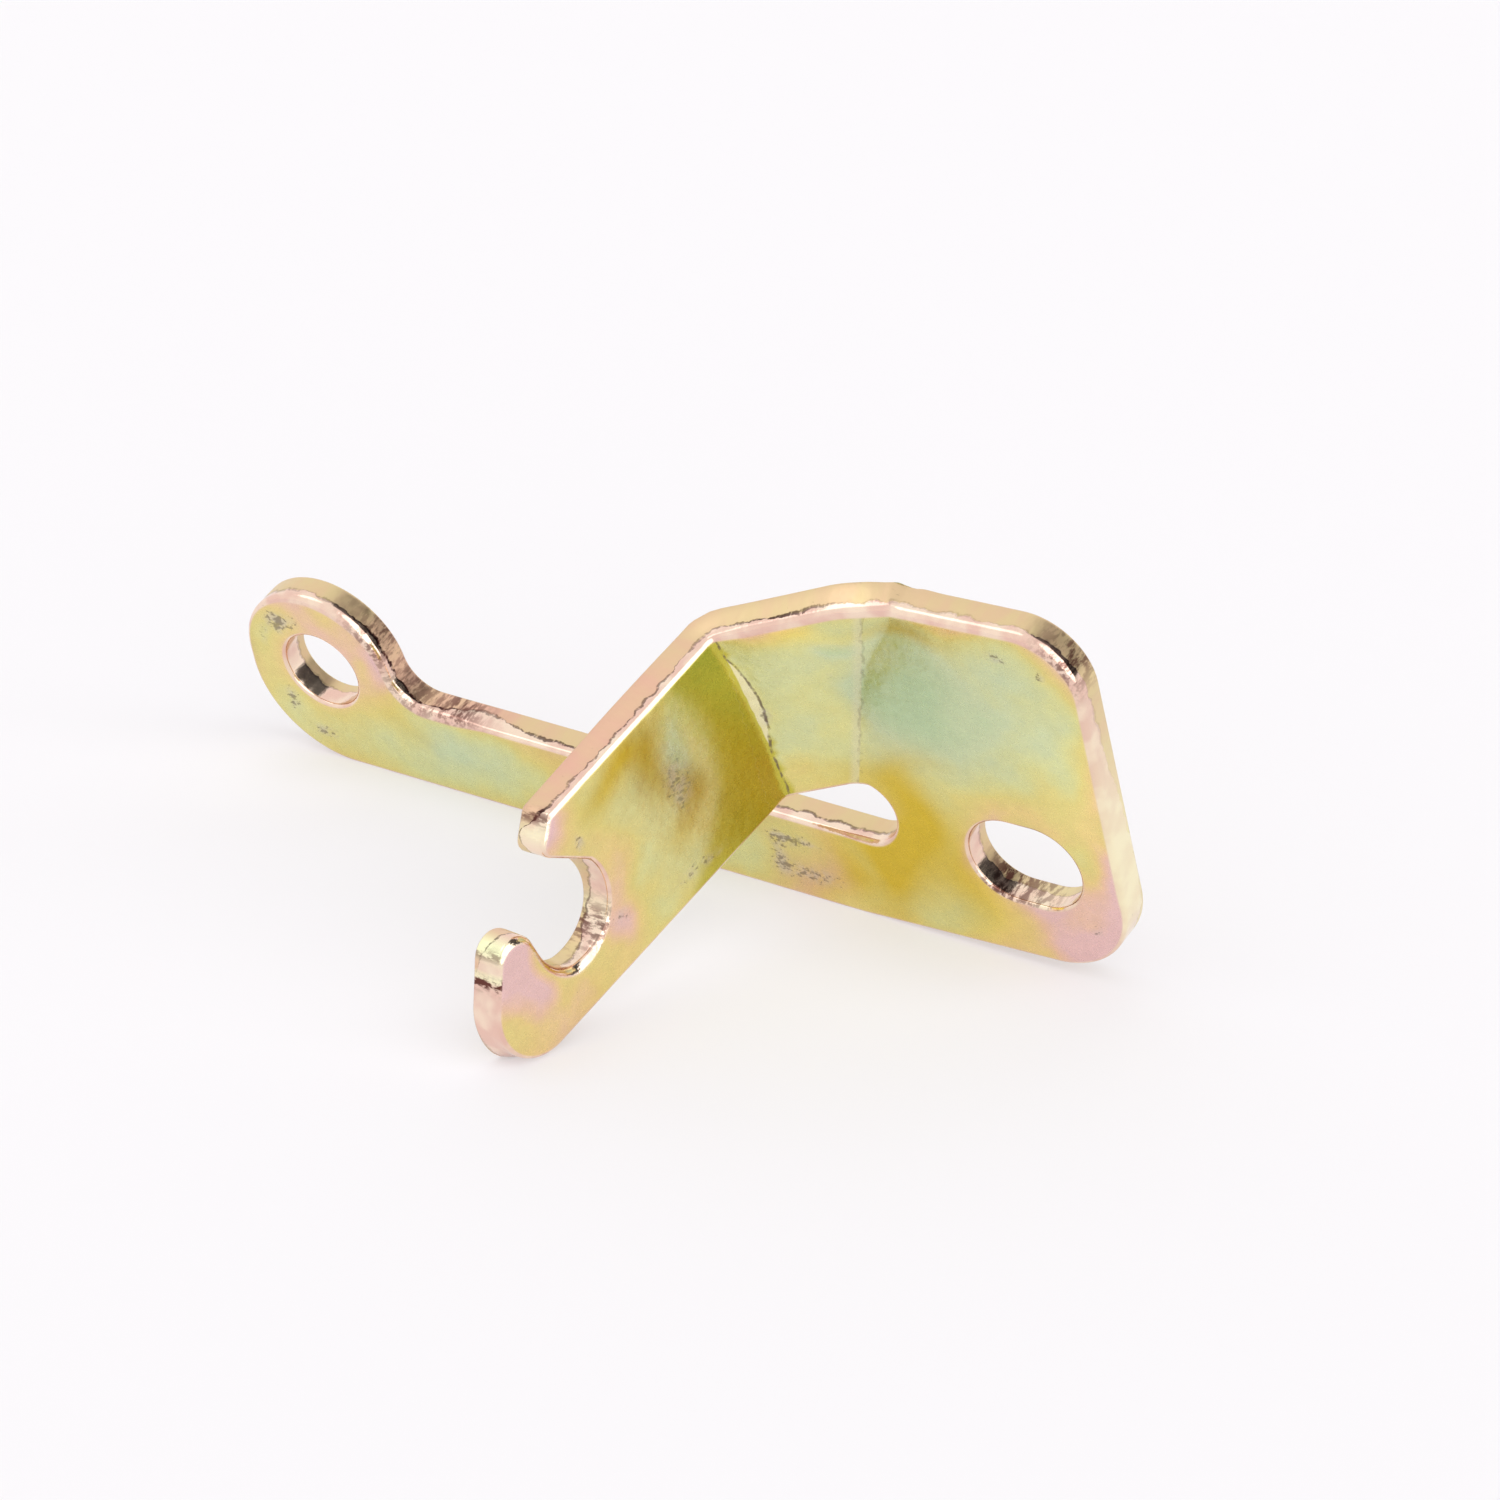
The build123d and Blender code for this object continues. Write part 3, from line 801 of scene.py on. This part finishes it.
GAPS_NOISE, GAPS, GAPS_LEFT = (4.0, 3.0), (0.35, 0.5), 0.3  # gaps in the line, and what is left of it there
SPOTS_NOISE, SPOTS, SPOTS_STRENGTH = (2.4, 4.0, 0.65), (0.42, 0.58), 0.85
ROUGH_NOISE, ROUGH = (1.7, 4.0), (0.24, 0.30)
SHEAR_SMOOTHER, TORN_ROUGHER, SCUFF_ROUGHER = -0.13, 0.10, 0.2
EDGE_STRETCH = (1.0, 1.0, 0.35)     # the sheared edge's noise is drawn out from front to back
TORN_SOFT = 0.04                    # half the step from smooth to torn in mm
WALL_STEP = (0.01, 0.35)
# The painted highlights along the bends, the lens beside crease two and the pale band beside crease one:
# where each fades in and out, in mm
LENS_IN, LENS_OUT, LENS_STRENGTH = (0.02, 0.10), (-0.08, 0.0), 0.75
PALE_IN, PALE_OUT, PALE_STRENGTH = (-0.9, -0.3), (-0.05, 0.05), 0.5
# The painted shade along the two creases, dark lines in the bends: wander and half width in mm, and
# strength
CREASE_SHADE_LINES = {"crease_one": (0.14, 0.16, 0.30), "crease_two": (0.06, 0.14, 0.85)}
CREASE_SHADE_CORE, WANDER_NOISE, CREASE_SHADE_NOISE = 0.4, (0.9, 2.0), (1.4, 3.0)
SCUFF_NOISE, SCUFF_STRETCH = (1.9, 4.0, 0.7), (1.0, 1.5, 1.0)
SCUFF_PULL, SCUFF_STEP, SCUFF_STRENGTH = 0.22, (0.68, 0.76), 0.6
SMEAR_NOISE, SMEAR_STEP, SMEAR_STRENGTH = (0.9, 3.0), (0.1, 1.2), 0.5
# Heights of the surface's noise in mm, and how much calmer the sheared edge is
GRAIN_NOISE, GRAIN_HEIGHT = (4.0, 2.0), 0.0004
WAVE_NOISE, WAVE_HEIGHT, WAVE_CALM = (0.7, 2.0), 0.05, 0.55
TEAR_NOISE, TEAR_HEIGHT = (2.2, 3.0, 0.6), 0.018


def face_colour(n, blank):
    """The film on the faces: its colour and its darker or brighter patches, partly painted reflection; the
    olive stretch, a painted reflection; and the painted highlights of the lens beside crease two and of the
    pale band beside crease one.
    """
    drift = n.spread(blank, DRIFT_NOISE, -DRIFT, DRIFT)
    mottle = n.spread(blank, MOTTLE_NOISE, -MOTTLE, MOTTLE)
    film = n.math("ADD", n.math("ADD", n.attribute("film"), drift), mottle, clamp=True)
    face = n.ramp(film, [(place, linear(colour)) for place, colour in FILM_COLOURS])
    # deep gold: film colour, and on the lower plate beside the arm partly a painted reflection
    face = n.mix(n.attribute("gold_film_and_reflection"), face, linear(GOLD_FILM_AND_REFLECTION))
    # painted reflection: the olive stretch on the arm beside crease two
    face = n.mix(n.attribute("painted_olive_reflection"), face, linear(OLIVE_REFLECTION))
    # painted highlight: the cream lens along the bend beside crease two
    in_lens_highlight = n.math("MULTIPLY", n.range(n.attribute("side_two"), *LENS_IN),
                     n.range(n.attribute("crease_two"), *LENS_OUT, 1.0, 0.0))
    face = n.mix(n.math("MULTIPLY", in_lens_highlight, LENS_STRENGTH), face, linear(LENS_HIGHLIGHT))
    # painted highlight: the pale band along the bend beside crease one
    in_pale_highlight = n.math("MULTIPLY", n.range(n.attribute("crease_one"), *PALE_IN),
                    n.range(n.attribute("crease_one"), *PALE_OUT, 1.0, 0.0))
    face = n.mix(n.math("MULTIPLY", in_pale_highlight, PALE_STRENGTH), face, linear(CREASE_ONE_HIGHLIGHT))
    cloud = n.spread(blank, CLOUD_NOISE, *CLOUD)
    # the tone patches, partly painted reflection, darken or brighten the faces
    return n.mix(1.0, face, n.math("MULTIPLY", n.attribute("tone_and_reflection"), cloud), "MULTIPLY")


def edge_colour(n, blank, across):
    """The sheared edge: smooth and pink, then torn and tan, with a ragged dark line between them that is
    partly painted dark reflection, dark mottled marks that are partly painted dark reflection, and painted
    highlights.
    """
    depth = n.add("SeparateXYZ", {0: blank}).outputs["Z"]
    line_depth = n.spread(across, RAGGED_NOISE, *(ROLL_DEPTH + below for below in RAGGED))
    past = n.math("SUBTRACT", depth, n.math("ADD", line_depth, n.attribute("deep")))
    torn = n.range(past, -TORN_SOFT, TORN_SOFT)
    blotch = n.spread(across, BLOTCH_NOISE, -BLOTCH, BLOTCH)
    salmon = n.math("ADD", n.attribute("salmon"), blotch, clamp=True)
    torn_colour = n.mix(salmon, linear(TORN_TAN), linear(TORN_SALMON))
    creamy = n.range(n.noise(blank, *CREAM_NOISE), *NOISE_MIDDLE)
    edge = n.mix(torn, n.mix(creamy, linear(SHEAR_PINK), linear(SHEAR_CREAM)), torn_colour)
    # painted highlight on the sheared edge
    edge = n.mix(n.attribute("painted_glint"), edge, linear(PAINTED_GLINT))

    thick = n.range(n.noise(blank, *THICK_NOISE), *NOISE_MIDDLE, *THICK)
    on_line = n.range(n.math("DIVIDE", n.math("ABSOLUTE", past), thick), LINE_CORE, 1.0, 1.0, 0.0)
    gaps = n.range(n.noise(across, *GAPS_NOISE), *GAPS, GAPS_LEFT, 1.0)
    on_line = n.math("MULTIPLY", n.math("MULTIPLY", on_line, gaps), n.attribute("line"))
    # the ragged line: partly the edge between shear and tear, partly painted dark reflection
    edge = n.mix(on_line, edge, linear(SHEAR_LINE_AND_DARK_REFLECTION))
    # dark mottled marks, partly painted dark reflection
    spots = n.range(n.noise(across, *SPOTS_NOISE), *SPOTS)
    strength = n.math("MULTIPLY", n.attribute("bruise_and_dark_reflection"), SPOTS_STRENGTH)
    return n.mix(n.math("MULTIPLY", spots, strength, clamp=True), edge, linear(BRUISE_AND_DARK_REFLECTION)), torn


def crease_shade_lines(n, blank, wall, colour):
    """The colour with painted shade: dark lines in the bends along the two creases."""
    for name, (wander, half, strength) in CREASE_SHADE_LINES.items():
        shift = n.spread(blank, WANDER_NOISE, -wander, wander)
        near = n.math("ABSOLUTE", n.math("SUBTRACT", n.attribute(name), shift))
        # painted shade: a dark line in the bend along each crease
        line = n.range(near, half * CREASE_SHADE_CORE, half, strength, 0.0)
        line = n.math("MULTIPLY", line, n.range(n.noise(blank, *CREASE_SHADE_NOISE), *NOISE_BREAKS))
        line = n.math("MULTIPLY", line, n.math("SUBTRACT", 1.0, wall))
        colour = n.mix(line, colour, linear(WORN_METAL_AND_CREASE_SHADE))
    return colour


def scuffed(n, blank, colour):
    """The colour with smears and specks of bare metal, and where the specks are."""
    upright = n.add("VectorMath", {0: blank, 1: SCUFF_STRETCH}, operation="MULTIPLY").outputs[0]
    specks = n.noise(upright, *SCUFF_NOISE)
    rubbed = n.attribute("scuff")
    scuff = n.range(n.math("ADD", specks, n.math("MULTIPLY", rubbed, SCUFF_PULL)), *SCUFF_STEP)
    smear = n.math("MULTIPLY", n.range(rubbed, *SMEAR_STEP, 0.0, SMEAR_STRENGTH),
                   n.range(n.noise(blank, *SMEAR_NOISE), *NOISE_BREAKS))
    colour = n.mix(smear, colour, linear(SMEAR))
    return n.mix(n.math("MULTIPLY", scuff, SCUFF_STRENGTH), colour, linear(WORN_METAL_AND_CREASE_SHADE)), scuff


def plated_steel():
    """The plated metal, painted over the blank and so carried round the folds."""
    material = bpy.data.materials.new("zinc_plated_steel")
    material.use_nodes = True
    n = Nodes(material.node_tree)
    shader = material.node_tree.nodes["Principled BSDF"]
    blank = n.attribute("blank", "Vector")
    across = n.add("VectorMath", {0: blank, 1: EDGE_STRETCH}, operation="MULTIPLY").outputs[0]
    wall = n.range(n.attribute("wall"), *WALL_STEP)
    edge, torn = edge_colour(n, blank, across)
    colour = crease_shade_lines(n, blank, wall, n.mix(wall, face_colour(n, blank), edge))
    colour, scuff = scuffed(n, blank, colour)

    rough = n.spread(blank, ROUGH_NOISE, *ROUGH)
    sheared = n.range(torn, 0.0, 1.0, SHEAR_SMOOTHER, TORN_ROUGHER)
    rough = n.math("ADD", rough, n.math("MULTIPLY", wall, sheared))
    rough = n.math("ADD", rough, n.math("MULTIPLY", scuff, SCUFF_ROUGHER))

    grain = n.math("MULTIPLY", n.noise(blank, *GRAIN_NOISE), GRAIN_HEIGHT)
    calm = n.math("SUBTRACT", 1.0, n.math("MULTIPLY", wall, WAVE_CALM))
    swell = n.math("MULTIPLY", n.noise(blank, *WAVE_NOISE), n.math("MULTIPLY", calm, WAVE_HEIGHT))
    tears = n.math("MULTIPLY", n.noise(across, *TEAR_NOISE), n.math("MULTIPLY", wall, TEAR_HEIGHT))
    height = n.math("ADD", n.math("ADD", grain, swell), tears)
    bump = n.add("Bump", {"Strength": 1.0, "Distance": MM, "Height": height})

    shader.inputs["Metallic"].default_value = 1.0
    for name, socket in (("Base Color", colour), ("Roughness", rough), ("Normal", bump.outputs["Normal"])):
        material.node_tree.links.new(socket, shader.inputs[name])
    return material


# ---------------------------------------------------------------- camera, ground and light
# The camera is placed in the plate's own frame, in mm, and then leaned with it
CAM_AZIMUTH, CAM_ELEVATION, CAM_ROLL = 38.608, 39.357, -11.029
CAM_FOCAL = 5591.684
CAM_OFFSET = (-406.999, -8.607)
CAM_DISTANCE = 418.024
PHOTO_SIDE = 1500       # side of the picture in pixels, in which CAM_FOCAL and CAM_OFFSET are given
SENSOR = 36
CLIP = (0.01, 20)


def add_camera():
    a, e, roll = rad(CAM_AZIMUTH), rad(CAM_ELEVATION), rad(CAM_ROLL)
    level = Vector((math.cos(a), math.sin(a), 0))
    back = Vector((math.sin(a) * math.cos(e), -math.cos(a) * math.cos(e), math.sin(e)))
    upright = back.cross(level)
    right = level * math.cos(roll) + upright * math.sin(roll)
    up = upright * math.cos(roll) - level * math.sin(roll)
    place = back * CAM_DISTANCE
    place -= right * (CAM_OFFSET[0] * CAM_DISTANCE / CAM_FOCAL)
    place -= up * (CAM_OFFSET[1] * CAM_DISTANCE / CAM_FOCAL)
    lean = Matrix.Rotation(rad(LEAN), 3, "X")
    axes = [lean @ v for v in (right, up, back)]
    camera = bpy.data.objects.new("camera", bpy.data.cameras.new("camera"))
    spot = Matrix.Translation((lean @ place - Vector(SHIFT)) * MM)
    camera.matrix_world = spot @ Matrix(axes).transposed().to_4x4()
    camera.data.sensor_width = SENSOR
    camera.data.lens = SENSOR * CAM_FOCAL / PHOTO_SIDE
    camera.data.clip_start, camera.data.clip_end = CLIP
    bpy.context.scene.collection.objects.link(camera)
    bpy.context.scene.camera = camera


# A pale matt floor that glows a little, half its side in metres
FLOOR_HALF = 3
FLOOR_CORNERS = ((-1, -1), (1, -1), (1, 1), (-1, 1))
FLOOR_LOOK = {
    "Base Color": (0.46, 0.447, 0.46, 1),
    "Roughness": 0.9,
    "Specular IOR Level": 0.1,
    "Emission Color": (1, 0.985, 1, 1),
    "Emission Strength": 0.43,
}


def add_floor():
    mesh = bpy.data.meshes.new("floor")
    mesh.from_pydata([(x * FLOOR_HALF, y * FLOOR_HALF, 0) for x, y in FLOOR_CORNERS], [], [(0, 1, 2, 3)])
    material = bpy.data.materials.new("floor_white")
    material.use_nodes = True
    for name, value in FLOOR_LOOK.items():
        material.node_tree.nodes["Principled BSDF"].inputs[name].default_value = value
    mesh.materials.append(material)
    ground = bpy.data.objects.new("floor", mesh)
    bpy.context.scene.collection.objects.link(ground)
    return ground


# Soft white light all round. Each zone: its direction, the cosines where it fades out and is full,
# and its level against the light all round
ROUND_LEVEL = 1.05
LIGHT_ZONES = [
    ((0.80, -0.30, 0.50), 0.74, 0.82, 2.2),      # large soft box at the right
    ((0.88, 0.25, 0.40), 0.94, 0.97, 2.4),       # its far end
    ((-0.45, -0.32, 0.83), 0.95, 0.98, 1.8),     # small one overhead
    ((0.76, 0.52, 0.39), 0.955, 0.972, 0.06),    # dark gap between the lights at the back right
    ((0.54, 0.42, 0.73), 0.955, 0.972, 0.06),
    ((0.18, 0.37, 0.91), 0.960, 0.975, 0.10),
]


def studio_light():
    world = bpy.data.worlds.new("studio")
    bpy.context.scene.world = world
    world.use_nodes = True
    n = Nodes(world.node_tree)
    direction = n.add("TexCoord").outputs["Generated"]
    level = ROUND_LEVEL
    for side, faint, full, zone_level in LIGHT_ZONES:
        unit = Vector(side).normalized()
        towards = n.add("VectorMath", {0: direction, 1: unit}, operation="DOT_PRODUCT").outputs["Value"]
        inside_zone = n.range(towards, faint, full)
        level = n.add("Mix", {0: inside_zone, 2: level, 3: zone_level}, data_type="FLOAT").outputs[0]
    background = world.node_tree.nodes["Background"]
    background.inputs["Color"].default_value = (1, 1, 1, 1)
    world.node_tree.links.new(level, background.inputs["Strength"])


# ---------------------------------------------------------------- scene
skin = build_bracket()
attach(skin, "root")
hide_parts("bracket")
paint_attributes(skin.data)
skin.data.materials.append(plated_steel())
add_camera()
floor = add_floor()
studio_light()
bpy.context.scene.view_settings.view_transform = "Standard"
